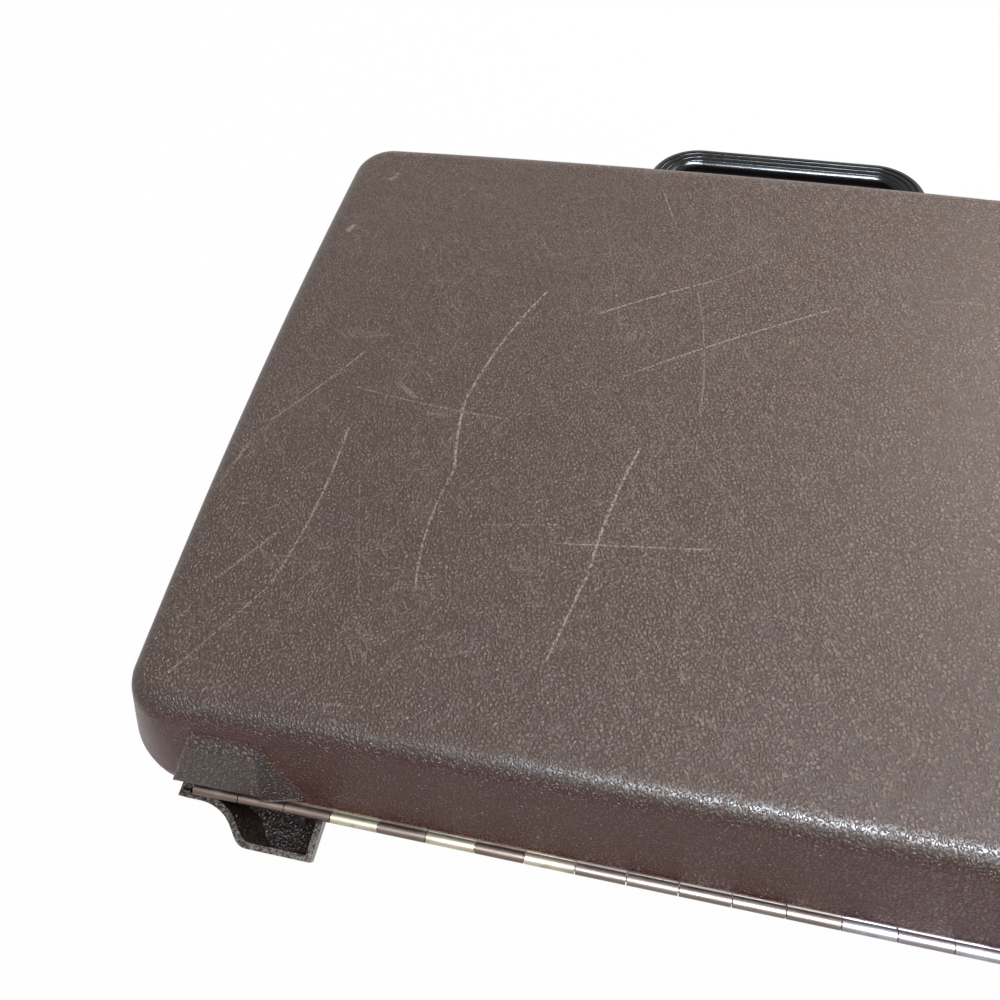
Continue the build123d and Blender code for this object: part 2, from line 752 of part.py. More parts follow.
def handle_grip():
    """The moulded grip, grooved lengthwise above, below and on its outer side."""
    section = RectangleRounded(grip_width, grip_height, grip_corner)
    for i in range(groove_count):
        x = (i - (groove_count - 1) / 2) * groove_pitch
        for side in (-1, 1):
            section -= Pos(x, side * grip_height / 2) * Circle(groove_radius)
        section -= Pos(-grip_width / 2, x) * Circle(groove_radius)
    return swept(section, grip_start) - handle_core()


def handle_bracket():
    """The right-hand bracket, in which the handle's eye turns."""
    drop = below(handle_drop)
    x = (handle_pivot_x - bracket_half, handle_pivot_x + bracket_half)
    plate = block(x, (pad_y, plate_y), (drop - bracket_half, drop + bracket_half))
    plate = fillet(plate.edges().filter_by(Axis.Y), bracket_corner)
    axis = (case_depth / 2 + handle_pivot_out, drop)
    for side in (-1, 1):
        near = handle_pivot_x + side * (eye_half + ear_gap)
        x = (near, near + side * bracket_ear)
        ear_z = (drop - bracket_ear_radius, drop + bracket_ear_radius)
        plate += block(x, (pad_y + pad_face, axis[0]), ear_z)
        plate += rod_x(bracket_ear_radius, x, *axis)
    plate -= handle_pin()
    for x, z in bracket_rivet_places():
        plate -= rod_y(bracket_rivet_radius, x, (pad_y - past, plate_y + past), z)
    return plate


def handle_pin():
    half = eye_half + ear_gap + bracket_ear + handle_pin_proud
    x = (handle_pivot_x - half, handle_pivot_x + half)
    return rod_x(handle_pin_radius, x, case_depth / 2 + handle_pivot_out, below(handle_drop))


def bracket_rivets():
    rivets = []
    for x, z in bracket_rivet_places():
        shank = rod_y(bracket_rivet_radius, x, (pad_y - screw_length, plate_y), z)
        head = rod_y(bracket_rivet_head, x, (plate_y, plate_y + screw_head_height), z)
        rivets.append(shank + fillet(head.faces().sort_by(Axis.Y)[-1].edges(), screw_head_height / 2))
    return rivets


def save(name, part):
    """Writes one node, and prints its volume."""
    export_step(part, f"parts/{name}.step")
    print(name, round(sum(solid.volume for solid in part.solids()), 1))


def save_pair(name, right):
    save(f"{name}_right", right)
    save(f"{name}_left", mirrored(right))


def both_sides(solids):
    return Compound(children=solids + [mirrored(solid) for solid in solids])


os.makedirs("parts", exist_ok=True)

save("lid_shell", lid_shell())
save("base_shell", base_shell())
save("lid_rim", lid_rim())
save("base_rim", base_rim())
save("lid_lining", lid_lining())
save("base_lining", base_lining())
pocket_face, pocket_walls = file_pocket()
save("file_pocket", pocket_face)
save("file_pocket_gusset", pocket_walls)
save("card_pocket", card_pocket())
save("pen_loops", pen_loops())

save("hinge_leaf_lid", to_lid(hinge_leaf(0)))
save("hinge_leaf_base", to_base(hinge_leaf(1)))
save("hinge_rivets_lid", Compound(children=[to_lid(rivet) for rivet in hinge_rivets()]))
save("hinge_rivets_base", Compound(children=[to_base(rivet) for rivet in hinge_rivets()]))
save("hinge_pin", rod_x(hinge_pin_radius, (-hinge_length / 2, hinge_length / 2), hinge_y, seam_z))

left_foot = hinge_foot()
save("hinge_foot_left", left_foot)
save("hinge_foot_right", mirrored(left_foot))
foot_shank, foot_head = foot_screw()
save("foot_screws", both_sides([foot_shank + foot_head]))

save_pair("lock_plate", at_lock(lock_plate(), 1))
save_pair("dial_axle", at_lock(dial_axle(), 1))
for number in range(dial_count):
    save_pair(f"dial_{number + 1}", at_lock(dial(number), 1))
save_pair("thumb_slide", at_lock(thumb_slide(), 1))
save_pair("hasp_plate", at_lock(hasp_plate(), 1))
save_pair("hasp", at_lock(hasp(), 1))
save_pair("hasp_pin", at_lock(hasp_pin(), 1))
save("lock_screws", both_sides([at_lock(screw, 1) for screw in lock_screws()]))
save("hasp_screws", both_sides([at_lock(screw, 1) for screw in hasp_screws()]))

save("handle_core", handle_core())
save("handle_grip", handle_grip())
save_pair("handle_bracket", handle_bracket())
save_pair("handle_pin", handle_pin())
save("bracket_rivets", both_sides(bracket_rivets()))
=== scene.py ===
import json
import math

import bmesh
import bpy
from mathutils import Euler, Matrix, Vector, noise


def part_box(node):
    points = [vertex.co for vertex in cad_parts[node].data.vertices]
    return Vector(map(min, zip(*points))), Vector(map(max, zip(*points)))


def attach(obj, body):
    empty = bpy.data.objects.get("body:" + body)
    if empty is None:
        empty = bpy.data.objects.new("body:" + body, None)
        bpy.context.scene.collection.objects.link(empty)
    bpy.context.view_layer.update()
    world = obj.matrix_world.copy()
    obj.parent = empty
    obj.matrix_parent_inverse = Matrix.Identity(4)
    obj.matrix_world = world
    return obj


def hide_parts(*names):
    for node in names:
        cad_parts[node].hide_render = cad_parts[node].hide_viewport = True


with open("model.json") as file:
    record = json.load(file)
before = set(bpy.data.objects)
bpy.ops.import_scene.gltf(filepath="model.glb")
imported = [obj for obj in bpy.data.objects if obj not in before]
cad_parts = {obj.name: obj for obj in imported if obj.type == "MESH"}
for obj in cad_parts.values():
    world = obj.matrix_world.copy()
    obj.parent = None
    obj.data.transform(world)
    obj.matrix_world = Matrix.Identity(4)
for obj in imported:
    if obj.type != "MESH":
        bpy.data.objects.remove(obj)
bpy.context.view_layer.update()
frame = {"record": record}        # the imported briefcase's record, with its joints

mm = 0.001               # the frame is in metres, and the sizes below are in millimetres
sides = ("left", "right")
pivots = {joint["name"]: [place / mm for place in joint["pos_m"]]
          for joint in frame["record"]["behaviour"]["joints"] if "pos_m" in joint}
seam = pivots["lid_hinge"][2]            # height where lid and base meet


def boxOf(node):
    # The lowest and highest corner of a CAD node, in millimetres.
    return tuple(Vector(corner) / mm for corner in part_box(node))


# Shader wiring

class Wire:
    # A socket that can be used in expressions. Each operator adds one Math node.
    def __init__(self, finish, socket):
        self.finish = finish
        self.socket = socket

    def calc(self, operation, first, *others):
        values = dict(enumerate((first, *others)))
        return self.finish.node("ShaderNodeMath", {"operation": operation}, values)

    def __add__(self, other):
        return self.calc("ADD", self, other)

    def __radd__(self, other):
        return self.calc("ADD", other, self)

    def __sub__(self, other):
        return self.calc("SUBTRACT", self, other)

    def __rsub__(self, other):
        return self.calc("SUBTRACT", other, self)

    def __mul__(self, other):
        return self.calc("MULTIPLY", self, other)

    def __rmul__(self, other):
        return self.calc("MULTIPLY", other, self)

    def __abs__(self):
        return self.calc("ABSOLUTE", self)

    def below(self, other):
        return self.calc("MINIMUM", self, other)

    def over(self, other):
        return self.calc("MAXIMUM", self, other)

    def step(self, low, high):
        # Runs smoothly from 0 at low to 1 at high. Low may be the larger of the two.
        ends = {"From Min": min(low, high), "From Max": max(low, high),
                "To Min": float(low > high), "To Max": float(low < high)}
        return self.finish.node("ShaderNodeMapRange", {"interpolation_type": "SMOOTHSTEP"},
                                {"Value": self, **ends})


class Finish:
    # A material under construction.
    def __init__(self, name=None, tree=None):
        if tree is None:
            self.material = bpy.data.materials.new(name)
            self.material.use_nodes = True
            tree = self.material.node_tree
        self.tree = tree
        self.tree.nodes.clear()

    def node(self, kind, settings=None, inputs=None, output=0):
        node = self.tree.nodes.new(kind)
        for key, value in (settings or {}).items():
            setattr(node, key, value)
        for key, value in (inputs or {}).items():
            if isinstance(value, Wire):
                self.tree.links.new(value.socket, node.inputs[key])
            else:
                node.inputs[key].default_value = value
        return Wire(self, node.outputs[output]) if len(node.outputs) else None

    def spot(self):
        # The point on the object at rest, in millimetres.
        place = self.node("ShaderNodeTexCoord", output="Object")
        return self.vector("SCALE", place, Scale=1 / mm)

    def facing(self, axis):
        # How far the surface faces along an axis of the piece, from -1 to 1.
        return self.axis(self.node("ShaderNodeTexCoord", output="Normal"), axis)

    def vector(self, operation, *values, **named):
        inputs = {**dict(enumerate(values)), **named}
        return self.node("ShaderNodeVectorMath", {"operation": operation}, inputs)

    def axis(self, place, name):
        return self.node("ShaderNodeSeparateXYZ", None, {0: place}, name)

    def turned(self, place, angles, scale, start=(0, 0, 0)):
        # The same point in axes that start elsewhere, turned and stretched.
        return self.node("ShaderNodeMapping", {"vector_type": "TEXTURE"},
                         {"Vector": place, "Location": start, "Scale": scale,
                          "Rotation": tuple(math.radians(angle) for angle in angles)})

    def noise(self, place, size, detail=2.0, rough=0.5, twist=0.0):
        # Cloudy noise about 0.5, whose blotches are about this many millimetres wide.
        inputs = {"Vector": place, "Scale": 1 / size, "Detail": detail, "Roughness": rough,
                  "Distortion": twist}
        return self.node("ShaderNodeTexNoise", None, inputs, "Fac")

    def cells(self, place, size):
        # Distance from the borders between cells of about this many millimetres.
        return self.node("ShaderNodeTexVoronoi", {"feature": "DISTANCE_TO_EDGE"},
                         {"Vector": place, "Scale": 1 / size}, "Distance")

    def colour(self, factor, first, second):
        return self.node("ShaderNodeMix", {"data_type": "RGBA"},
                         {0: factor, 6: self.rgb(first), 7: self.rgb(second)}, 2)

    def rgb(self, value):
        return value if isinstance(value, Wire) else (*value, 1)

    def bump(self, height, depth, under=None):
        # Height runs from 0 to 1 and stands for this many millimetres.
        inputs = {"Height": height, "Distance": depth * mm, "Strength": 1.0}
        if under is not None:
            inputs["Normal"] = under
        return self.node("ShaderNodeBump", None, inputs, "Normal")

    def surface(self, **inputs):
        named = {key.replace("_", " "): value for key, value in inputs.items()}
        named["Base Color"] = self.rgb(named["Base Color"])
        return self.output(self.node("ShaderNodeBsdfPrincipled", None, named, "BSDF"))

    def output(self, shader, kind="ShaderNodeOutputMaterial"):
        self.node(kind, None, {"Surface": shader})
        return getattr(self, "material", None)


def dress(material, *nodes):
    # Gives CAD nodes a finish.
    for name in nodes:
        piece = bpy.data.objects[name]
        piece.data.materials.clear()
        piece.data.materials.append(material)


# Camera, floor and light

cameraSettings = {
    "place": (-0.02245, -0.26091, 0.42580),
    "turn": (34.180, 3.847, 12.716),     # degrees about X, Y and Z
    "focal": 1.0622,                     # focal length as a share of the frame's width
    "sensor": 36.0,
    "near": 0.01,
}

lightSettings = {
    "sky": 0.43,                         # on the object, where 1 is what the camera sees
    "floorGlow": 0.985,                  # how much of the floor the camera sees as plain white
    "floorPaint": (0.94, 0.94, 0.94),
    "floorSize": 6.0,                    # from its middle to its edges, in metres
    "aim": (0, 0, 0.05),                 # where the lamps point
    "window": {"place": (0.95, 1.10, 1.25), "size": (0.9, 0.7), "power": 30.0,
               "colour": (1.0, 0.93, 0.86), "onlySheen": False},
    "ceiling": {"place": (0.40, -0.44, 1.36), "size": (1.1, 0.18), "power": 100.0,
                "colour": (0.82, 0.90, 1.0), "onlySheen": True},
}


def makeCamera():
    bpy.context.scene.view_settings.view_transform = "Standard"
    data = bpy.data.cameras.new("camera")
    data.sensor_width = cameraSettings["sensor"]
    data.lens = cameraSettings["focal"] * cameraSettings["sensor"]
    data.clip_start = cameraSettings["near"]
    camera = bpy.data.objects.new("camera", data)
    bpy.context.collection.objects.link(camera)
    camera.location = cameraSettings["place"]
    camera.rotation_euler = Euler([math.radians(angle) for angle in cameraSettings["turn"]], "XYZ")
    bpy.context.scene.camera = camera


def makeLamp(name, settings):
    data = bpy.data.lights.new(name, "AREA")
    data.shape = "RECTANGLE"
    data.size, data.size_y = settings["size"]
    data.energy = settings["power"]
    data.color = settings["colour"]
    lamp = bpy.data.objects.new(name, data)
    bpy.context.collection.objects.link(lamp)
    lamp.location = settings["place"]
    lamp.visible_diffuse = not settings["onlySheen"]
    aim = Vector(lightSettings["aim"]) - lamp.location
    lamp.rotation_euler = aim.to_track_quat("-Z", "Y").to_euler()


def seenDirectly(finish):
    # 1 for rays from the camera and for reflections, so that the surroundings look white.
    rays = [finish.node("ShaderNodeLightPath", None, None, name)
            for name in ("Is Camera Ray", "Is Glossy Ray", "Is Transmission Ray")]
    return rays[0].over(rays[1]).over(rays[2])


def makeSurroundings():
    world = bpy.data.worlds.new("studio")
    bpy.context.scene.world = world
    world.use_nodes = True
    sky = Finish(tree=world.node_tree)
    seen = seenDirectly(sky)
    strength = seen * (1 - lightSettings["sky"]) + lightSettings["sky"]
    glow = sky.node("ShaderNodeBackground", None, {"Color": (1, 1, 1, 1), "Strength": strength})
    sky.output(glow, "ShaderNodeOutputWorld")

    size = lightSettings["floorSize"]
    mesh = bpy.data.meshes.new("floor")
    corners = [(-size, -size, 0), (size, -size, 0), (size, size, 0), (-size, size, 0)]
    mesh.from_pydata(corners, [], [(0, 1, 2, 3)])
    floor = bpy.data.objects.new("floor", mesh)
    bpy.context.collection.objects.link(floor)
    paint = Finish("floorPaint")
    matte = paint.node("ShaderNodeBsdfDiffuse", None, {"Color": (*lightSettings["floorPaint"], 1)})
    white = paint.node("ShaderNodeEmission", None, {"Color": (1, 1, 1, 1), "Strength": 1.0})
    share = seenDirectly(paint) * lightSettings["floorGlow"]
    floor.data.materials.append(paint.output(
        paint.node("ShaderNodeMixShader", None, {0: share, 1: matte, 2: white})))


makeCamera()
makeSurroundings()
makeLamp("window", lightSettings["window"])
makeLamp("ceiling", lightSettings["ceiling"])
print("camera and light done")


# Brown moulded plastic of the shells

shellSettings = {
    "brown": (0.070, 0.034, 0.019),
    "brownDull": (0.068, 0.035, 0.025),  # in clouds over the brown
    "wall": (0.082, 0.013, 0.004),       # painted shade and reflection: the leaning walls are painted redder and darker than the top
    "boss": (0.052, 0.023, 0.012),       # the wedge above the hinge foot, painted darker than the top as its shade
    "facetPaintedShade": (0.030, 0.007, 0.004),      # painted shade on the boss's slanted side
    # painted light: the hinge foot's steep faces are painted paler, to lift the shade in its hollow
    "foot": (0.120, 0.062, 0.042),
    "worn": (0.46, 0.41, 0.36),          # scratches and rubbed edges
    "crestHighlight": (0.42, 0.31, 0.25),         # tops of the moulded grain, painted paler as their highlight
    "grain": 1.35,                       # width of the grain's pebbles
    "grainAngle": -60.0,                 # the grain runs down to the right in the photo's view
    "rough": 0.31,
    "shine": 1.44,                       # index of refraction
    "cloud": 34, "mottle": 7, "patch": 28, "smear": 16,      # widths of the noises
    "creases": (14, 2.6, 5),             # a crease's length, spacing and depth
    "left": -190, "right": 170,          # where the painted sheen on the grain's tops is weakest and strongest
    "wallLean": 1 / 3,
    "wallEdge": 1.0,                     # from the seam to the plastic's edge
    "bossEdge": 156.5,                   # from the middle to where front and slanted side meet
    "bossBrow": 25.0,                    # the boss's top edge above the seam
    "bossLip": 4.4,                      # and its lower edge
}
wallFoot = pivots["lid_hinge"][1] + 2.0      # the hinge-side wall's place at the seam

# Scratches on the lid's top: start, end and bow to the left of the way there, all in
# millimetres, then width and strength from 0 to 1.
scratches = [
    ((-96, 61), (-117, -4), -2.4, 0.8, 0.9),
    ((-117, -4), (-113, -38), -0.9, 0.9, 1.0),
    ((-113, -38), (-114, -92), -3.0, 0.7, 0.8),
    ((-73, 50), (-27, 77), 0.6, 0.7, 0.9),
    ((-27, 77), (-2, 95), 0, 0.5, 0.5),
    ((-58, 17), (25, 69), 1.4, 0.6, 0.9),
    ((-81, 113), (-62, 42), 0.3, 0.4, 0.4),
    ((-57, 132), (-48, 109), 0, 0.5, 0.6),
    ((-34, 70), (-25, 1), 2.4, 0.5, 0.6),
    ((-45, -16), (-55, -73), -1.5, 0.9, 1.0),
    ((-55, -73), (-63, -110), 0, 0.8, 0.9),
    ((-69, -64), (-14, -57), 0, 0.5, 0.8),
    ((-160, -24), (-167, -99), 2.8, 0.8, 0.7),
    ((-167, -99), (-191, -139), 0, 0.6, 0.6),
    ((-171, -76), (-188, -100), 0, 0.9, 0.6),
    ((-165, 15), (-193, -27), 0.8, 0.8, 0.6),
    ((-164, -4), (-97, -11), -1.5, 0.6, 0.5),
    ((-98, -61), (-69, -56), 0, 0.5, 0.4),
    ((-148, -49), (-133, -99), 0, 0.4, 0.4),
    ((56, 78), (82, 80), 0, 0.6, 0.5),
    ((-203, -63), (-197, -37), 0, 1.0, 0.5),
    ((-195, 85), (-193, 90), 0, 2.2, 0.8),
    ((-186, 123), (-182, 128), 0, 2.6, 0.6),
]


def scratchMarks(finish, spot):
    marks = None
    for start, end, bow, width, strength in scratches:
        way = Vector(end) - Vector(start)
        length = way.length
        angle = math.degrees(math.atan2(way.y, way.x))
        along = finish.turned(spot, (0, 0, angle), (length, length, length), (*start, 0))
        share = finish.axis(along, "X")
        arc = share - share * share
        off = abs(finish.axis(along, "Y") - arc * (4 * bow / length))
        line = off.step(0.8 * width / length, 0.3 * width / length) * arc.step(0.0, 0.03) * strength
        marks = line if marks is None else marks.over(line)
    return marks


def hairlines(finish, spot):
    # Fine scratches in a few directions, in patches.
    marks = None
    for angle, shift in ((12, 0), (66, 40), (-38, 80)):
        turned = finish.turned(spot, (0, 0, angle), (38, 2.6, 60), (shift, 0, 0))
        line = abs(finish.noise(turned, 1.0, 1) - 0.5).step(0.016, 0.0)
        line = line * finish.noise(spot, 17 + angle / 10, 2).step(0.50, 0.66)
        marks = line if marks is None else marks.over(line)
    return marks


def shellPlastic(name, edges, scratched, wall):
    # Moulded plastic with a leather grain. Each edge is a height with the reach and the share
    # of its wear, and wall is the colour painted on steep faces for how light falls on them.
    settings = shellSettings
    finish = Finish(name)
    spot = finish.spot()
    x, y, height = (finish.axis(spot, letter) for letter in "XYZ")
    flat = finish.facing("Z").step(0.60, 0.90)
    # A ramp from left to right; the painted sheen on the grain grows along it.
    toTheRight = x.step(settings["left"], settings["right"])
    cloud = finish.noise(spot, settings["cloud"], 3)
    mottle = finish.noise(spot, settings["mottle"], 4, 0.6)

    def lying(along, across, up):
        return finish.turned(spot, (0, 0, settings["grainAngle"]), (along, across, up))

    pebbles = finish.cells(lying(1.4, 1, 1.2), settings["grain"])
    grain = (pebbles * 1.1 + finish.noise(spot, 0.8, 2, 0.6) * 0.9).step(0.50, 0.84)
    patches = (finish.noise(spot, settings["patch"], 2) + toTheRight * 0.26).step(0.44, 0.82)
    creases = abs(finish.noise(lying(*settings["creases"]), 1.0, 2, 0.5, 0.3) - 0.5)
    creases = creases.step(0.020, 0.0) * patches

    # The boss is where the plastic stands out of the leaning wall.
    proud = (height - seam) * settings["wallLean"] + (wallFoot - y)
    onBoss = proud.step(0.6, 1.2) * (1 - flat)
    side = abs(x)
    edge = settings["bossEdge"]
    # Where the slanted side's painted shade goes.
    onFacet = onBoss * side.step(edge - 0.5, edge - 2.5)
    brow = abs(height - (seam + settings["bossBrow"]))
    # Painted highlight along the boss's rounded side edge and its top edge.
    paintedEdgeHighlight = abs(side - edge).step(2.2, 0.4) + brow.step(3.4, 1.6)
    paintedEdgeHighlight = paintedEdgeHighlight.below(1.0) * onBoss * (1 - onFacet)
    lip = abs(height - (seam + settings["bossLip"])).step(1.4, 0.2) * onBoss

    ragged = finish.noise(spot, 1.3, 3, 0.7)
    wide = finish.noise(spot, settings["smear"], 2)
    worn = (finish.noise(spot, 0.9, 2, 0.6) + wide * 0.25).step(0.83, 0.90) * 0.6
    worn = worn.over((lip * 0.4 + ragged * 0.62).step(0.62, 0.74) * 0.7)
    for level, reach, share in edges:
        near = abs(height - level).step(reach, 0.0)
        worn = worn.over((near * share + ragged * 0.62 + wide * 0.25).step(0.86, 0.94))
    if scratched:
        dots = finish.noise(spot, 1.0, 2, 0.6).step(0.40, 0.56)
        worn = worn.over(scratchMarks(finish, spot) * dots)
        worn = worn.over(hairlines(finish, spot) * flat * (0.32 - toTheRight * 0.26))

    base = finish.colour(cloud.step(0.3, 0.7), settings["brown"], settings["brownDull"])
    # Painted light and shade: steep faces take the wall colour instead of the brown.
    base = finish.colour(flat, wall, base)
    # Painted shade: the boss's front is darker than the top.
    base = finish.colour(onBoss, base, settings["boss"])
    # Painted shade: the boss's slanted side, turned from the light, is much darker.
    base = finish.colour(onFacet, base, settings["facetPaintedShade"])
    # Grain colour and painted highlight: the grain's pale tops are stronger on the top, to the right, on
    # the boss and on its rounded edges, as sheen.
    share = flat * 0.09 + toTheRight * (flat * 0.24 + 0.20) + onBoss * 0.2 + paintedEdgeHighlight * 0.4 + 0.06
    base = finish.colour(grain * share, base, settings["crestHighlight"])
    # The creases' pale lines are painted stronger on the top, as highlight.
    base = finish.colour(creases * (flat * 0.36 + 0.10), base, settings["crestHighlight"])
    base = finish.colour(worn * 0.85, base, settings["worn"])
    rough = settings["rough"] + mottle * 0.08 + worn * 0.2 - grain * 0.06

    normal = finish.bump(creases, 0.12)
    normal = finish.bump(grain, 0.30, normal)
    normal = finish.bump(mottle, 0.10, normal)
    return finish.surface(Base_Color=base, Roughness=rough, Normal=normal, IOR=settings["shine"])


# The shells' wall colour is painted shade and reflection on their steep faces.
wallPaintedShade, wallEdge = shellSettings["wall"], shellSettings["wallEdge"]
footTop = boxOf("hinge_foot_left")[1].z
dress(shellPlastic("lidPlastic", [(seam + wallEdge, 1.8, 0.58)], True, wallPaintedShade), "lid_shell")
dress(shellPlastic("basePlastic", [(seam - wallEdge, 1.8, 0.4)], False, wallPaintedShade), "base_shell")
# Painted light: the hinge foot's steep faces take a paler colour to lift their shade.
dress(shellPlastic("footPlastic", [(footTop, 0.9, 0.45)], False, shellSettings["foot"]),
      "hinge_foot_left", "hinge_foot_right")
print("shells done")


# Metals

metalSettings = {
    "rim": {"colour": (0.24, 0.19, 0.165), "stain": (0.14, 0.105, 0.09), "rough": 0.34,
            "brushed": (20, 20, 1)},
    "lock": {"colour": (0.72, 0.67, 0.56), "stain": (0.50, 0.43, 0.32), "rough": 0.20,
             "brushed": (1, 8, 8)},
    "steel": {"colour": (0.52, 0.52, 0.52), "stain": (0.30, 0.28, 0.26), "rough": 0.28,
              "brushed": (1, 1, 1)},
    # The hinge's knuckles change colour along it, from the left end to the right. The base's first,
    # darker colour is painted shadow from the boss.
    "hingeLid": ((0.14, 0.10, 0.085), (0.13, 0.095, 0.08), (0.16, 0.13, 0.115), (0.24, 0.21, 0.215)),
    "hingeBase": ((0.16, 0.115, 0.095), (0.44, 0.40, 0.30), (0.19, 0.155, 0.14), (0.33, 0.31, 0.34)),
    "hingeChanges": (-138, -43, 43),     # where one colour gives way to the next
    "hingeStain": (0.16, 0.12, 0.10),
    "hingeRough": 0.30,
    "hingeBrushed": (12, 1, 1),
    "stainWidth": 7, "lineWidth": 0.5, "lineDepth": 0.01, "pitWidth": 0.8,
}


def stainsAndLines(finish, spot, brushed):
    settings = metalSettings
    stains = finish.noise(spot, settings["stainWidth"], 4, 0.6).step(0.42, 0.68)
    lines = finish.noise(finish.turned(spot, (0, 0, 0), brushed), settings["lineWidth"], 3, 0.6)
    return stains, lines


def metal(name, colour, stain, rough, brushed):
    finish = Finish(name)
    spot = finish.spot()
    stains, lines = stainsAndLines(finish, spot, brushed)
    pits = finish.noise(spot, metalSettings["pitWidth"], 2).step(0.68, 0.74)
    base = finish.colour(stains * 0.6, colour, stain)
    base = finish.colour(pits * 0.6, base, [part * 0.4 for part in stain])
    return finish.surface(Base_Color=base, Metallic=1 - pits * 0.5,
                          Normal=finish.bump(lines, metalSettings["lineDepth"]),
                          Roughness=rough + lines * 0.14 + stains * 0.12)


def hingeMetal(name, colours):
    settings = metalSettings
    finish = Finish(name)
    spot = finish.spot()
    x = finish.axis(spot, "X")
    stains, lines = stainsAndLines(finish, spot, settings["hingeBrushed"])
    base = colours[0]
    for place, colour in zip(settings["hingeChanges"], colours[1:]):
        base = finish.colour(x.step(place - 3, place + 3), base, colour)
    base = finish.colour(stains * 0.5, base, settings["hingeStain"])
    return finish.surface(Base_Color=base, Metallic=1 - stains * 0.3,
                          Normal=finish.bump(lines, settings["lineDepth"]),
                          Roughness=settings["hingeRough"] + lines * 0.14 + stains * 0.12)


dress(metal("rimAluminium", **metalSettings["rim"]), "lid_rim", "base_rim")
dress(hingeMetal("hingeLidMetal", metalSettings["hingeLid"]), "hinge_leaf_lid", "hinge_rivets_lid")
dress(hingeMetal("hingeBaseMetal", metalSettings["hingeBase"]),
      "hinge_leaf_base", "hinge_rivets_base", "hinge_pin")
dress(metal("lockPlating", **metalSettings["lock"]),
      *[f"{part}_{side}" for part in ("lock_plate", "hasp", "hasp_plate", "thumb_slide")
        for side in sides])
dress(metal("plainSteel", **metalSettings["steel"]),
      *[f"{part}_{side}" for part in ("dial_axle", "hasp_pin", "handle_pin", "handle_bracket")
        for side in sides],
      "handle_core", "lock_screws", "hasp_screws", "foot_screws", "bracket_rivets")
print("metals done")


# Handle grip

gripSettings = {
    "dark": (0.005, 0.006, 0.009),
    "light": (0.010, 0.012, 0.016),
    "scuff": (0.08, 0.08, 0.09),
    "grain": 0.9, "cloud": 14, "scuffWidth": 1.2,
    "rough": 0.15,
    "shine": 1.34,           # index of refraction
}


def gripPlastic():
    settings = gripSettings
    finish = Finish("gripPlastic")
    spot = finish.spot()
    grain = finish.noise(spot, settings["grain"], 3, 0.6)
    cloud = finish.noise(spot, settings["cloud"], 3)
    scuffs = finish.noise(finish.turned(spot, (0, 0, 0), (6, 1, 1)), settings["scuffWidth"], 3, 0.65)
    scuffs = scuffs.step(0.66, 0.76)
    base = finish.colour(cloud, settings["dark"], settings["light"])
    base = finish.colour(scuffs * 0.3, base, settings["scuff"])
    return finish.surface(Base_Color=base, Roughness=settings["rough"] + cloud * 0.06 + scuffs * 0.2,
                          Normal=finish.bump(grain, 0.02), IOR=settings["shine"])


dress(gripPlastic(), "handle_grip")
print("handle done")


# Pieces made here

def makePiece(name, points, faces, material, body, replaced=()):
    mesh = bpy.data.meshes.new(name)
    mesh.from_pydata([Vector(point) * mm for point in points], [], faces)
    mesh.materials.append(material)
    for face in mesh.polygons:
        face.use_smooth = True
    tidy = bmesh.new()
    tidy.from_mesh(mesh)
    bmesh.ops.recalc_face_normals(tidy, faces=tidy.faces)
    tidy.to_mesh(mesh)
    tidy.free()
    piece = bpy.data.objects.new(name, mesh)
    bpy.context.collection.objects.link(piece)
    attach(piece, body)
    if replaced:
        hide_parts(*replaced)
    return piece


widestStrip = 10.0       # anything narrower than this is a strip, and no sheet


def makeSheet(piece, thickness, width):
    # Gives a thin piece its thickness, and works out how large it was cut.
    area = sum(face.area for face in piece.data.polygons)
    layer = piece.modifiers.new("thickness", "SOLIDIFY")
    layer.thickness = thickness * mm
    layer.offset = 0
    cut = (width * mm, area / (width * mm))
    min(cut) > widestStrip * mm


def rows(count, columns, closed, endless=False):
    # Quads between rows of points. A closed row joins its last point to its first, and
    # endless rows join the last row to the first.
    faces = []
    for row in range(count if endless else count - 1):
        near, far = row * columns, (row + 1) % count * columns
        for column in range(columns if closed else columns - 1):
            after = (column + 1) % columns
            faces.append((near + column, near + after, far + after, far + column))
    return faces


stitchSettings = {
    "length": 2.9, "pitch": 4.0, "radius": 0.32,
    "sides": 6,
    # Places along a stitch as shares of its length, with its girth there.
    "girths": ((-0.5, 0.35), (-0.3, 1.0), (0.3, 1.0), (0.5, 0.35)),
    "thread": (0.36, 0.25, 0.15), "threadDark": (0.22, 0.14, 0.08),
}


def threadFinish():
    finish = Finish("thread")
    twist = finish.noise(finish.spot(), 0.4, 2)
    base = finish.colour(twist, stitchSettings["thread"], stitchSettings["threadDark"])
    return finish.surface(Base_Color=base, Roughness=0.7, Normal=finish.bump(twist, 0.05))


thread = threadFinish()


def stitches(name, lines, body):
    # Rows of stitches along lines, each a start and an end.
    points, faces = [], []
    around, girths = stitchSettings["sides"], stitchSettings["girths"]
    for start, end in lines:
        start, end = Vector(start), Vector(end)
        way = (end - start).normalized()
        across = way.cross(Vector((0, 0, 1))).normalized()
        count = max(1, round((end - start).length / stitchSettings["pitch"]))
        for i in range(count):
            middle = start + (end - start) * (i + 0.5) / count
            first = len(points)
            for share, girth in girths:
                centre = middle + way * share * stitchSettings["length"]
                for k in range(around):
                    angle = 2 * math.pi * k / around
                    out = across * math.cos(angle) + Vector((0, 0, math.sin(angle)))
                    points.append(centre + out * girth * stitchSettings["radius"])
            last = first + (len(girths) - 1) * around
            faces += [tuple(first + corner for corner in face)
                      for face in rows(len(girths), around, True)]
            faces += [tuple(range(first, first + around)), tuple(range(last, last + around))]
    return makePiece(name, points, faces, thread, body)


# Cloth linings, glued inside the shells

